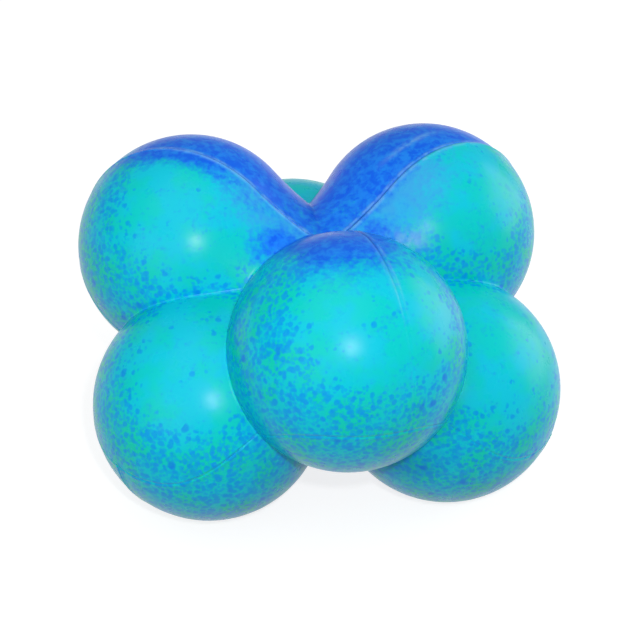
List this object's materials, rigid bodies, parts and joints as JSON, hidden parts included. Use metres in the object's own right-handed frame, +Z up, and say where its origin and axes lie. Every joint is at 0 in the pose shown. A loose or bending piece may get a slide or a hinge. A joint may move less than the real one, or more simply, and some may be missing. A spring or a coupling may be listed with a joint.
{
  "type": "irregular-bounce ball",
  "caption": "Knobbly solid rubber ball with rounded lobes round an upright axis, which bounces off in directions that can't be foreseen, for juggling, catching and reaction play.",
  "frame": {"origin": "on the ball's upright axis, in the plane that its three low lobes rest on", "axes": "+Z up the axis that the lobes are spaced round, -Y towards the high lobe at the front, +X to the right seen from the front"},
  "size_m": [0.0698, 0.075, 0.0487],
  "materials": {
    "upper_rubber": "satin speckled turquoise rubber with a deep blue crown",
    "lower_rubber": "satin turquoise rubber with fine blue speckles",
    "core_rubber": "plain matt rubber"
  },
  "bodies": {
    "root": {"core": "core_rubber", "upper_cover_front_right": "upper_rubber", "upper_cover_back": "upper_rubber", "upper_cover_front_left": "upper_rubber", "lower_cover_front": "lower_rubber", "lower_cover_back_right": "lower_rubber", "lower_cover_back_left": "lower_rubber"}
  },
  "joints": []
}
